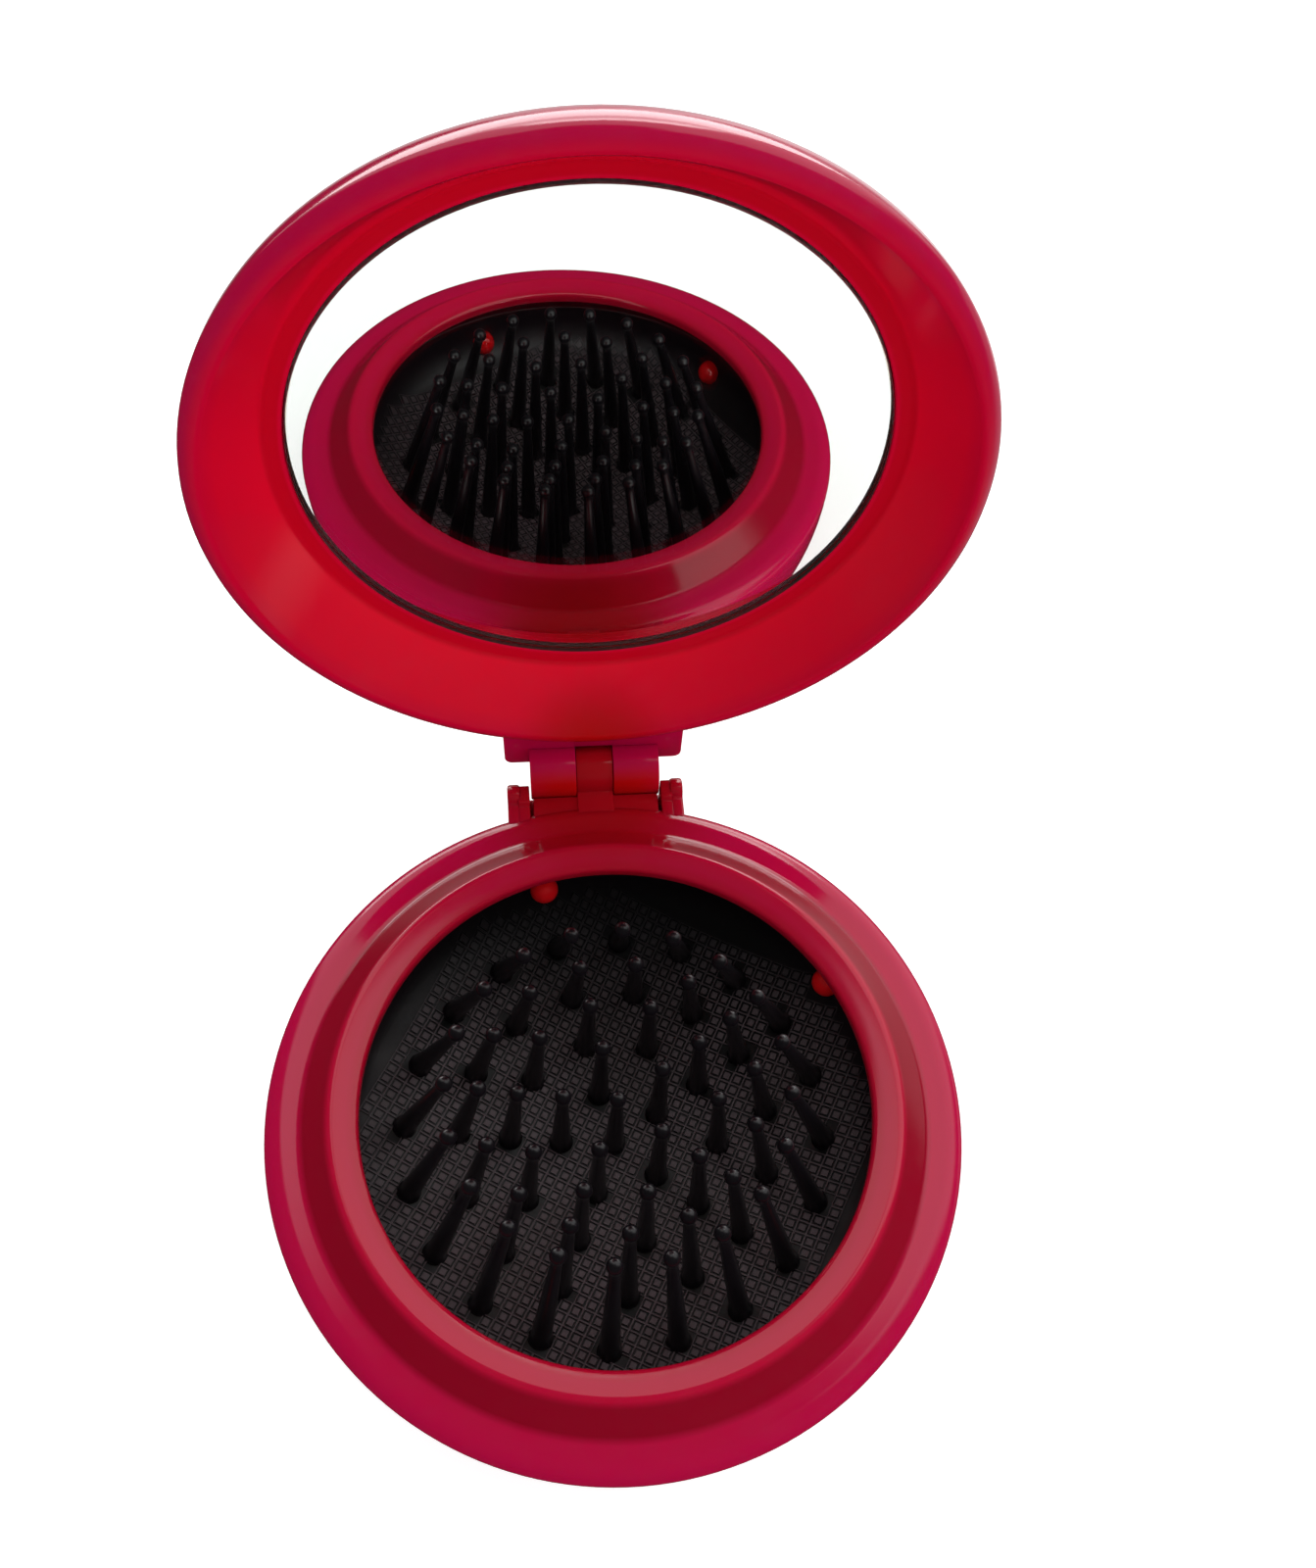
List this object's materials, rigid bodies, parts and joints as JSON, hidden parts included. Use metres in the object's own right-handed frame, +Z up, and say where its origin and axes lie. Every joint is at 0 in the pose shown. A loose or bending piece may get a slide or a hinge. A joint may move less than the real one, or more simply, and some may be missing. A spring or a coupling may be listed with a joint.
{
  "type": "folding hairbrush with mirror",
  "caption": "Round pocket hairbrush: a hinged lid with a round mirror opens off a shallow base, whose rubber pad of ball-tipped pins pops up when the button underneath is pushed.",
  "frame": {"origin": "middle of the base's foot, on the surface that the brush stands on", "axes": "+Z up out of the open brush, +Y from the middle to the hinge, X along the hinge pin; the lid stands open at 92 degrees"},
  "size_m": [0.07, 0.0875, 0.0922],
  "materials": {
    "red_plastic": "polished, slightly see-through at thin walls",
    "black_rubber": "satin, with a grid of small raised squares",
    "black_nylon": "satin",
    "steel": "drawn wire",
    "clear_glass": "polished",
    "silver_layer": "polished",
    "white_foam": "matte"
  },
  "bodies": {
    "base": {"base_shell": "red_plastic", "base_cover": "red_plastic", "brush_pad": "black_rubber", "hinge_pin": "steel"},
    "lid": {"lid": "red_plastic", "mirror_glass": "clear_glass", "mirror_silvering": "silver_layer", "mirror_adhesive": "white_foam"},
    "button": {"push_button": "red_plastic", "pin_centre": "black_nylon", "pins_ring_1": "black_nylon", "pins_ring_2": "black_nylon", "pins_ring_3": "black_nylon", "pins_ring_4": "black_nylon"}
  },
  "joints": [
    {"name": "lid_hinge", "type": "hinge", "parent": "base", "child": "lid", "pos_m": [0, 0.0393, 0.018], "axis": [-1, 0, 0], "range_deg": [-92, 88]},
    {"name": "button_slide", "type": "slide", "parent": "base", "child": "button", "axis": [0, 0, 1], "range_m": [0, 0.02], "deforming": ["brush_pad", "pin_centre", "pins_ring_1", "pins_ring_2", "pins_ring_3", "pins_ring_4"]}
  ]
}
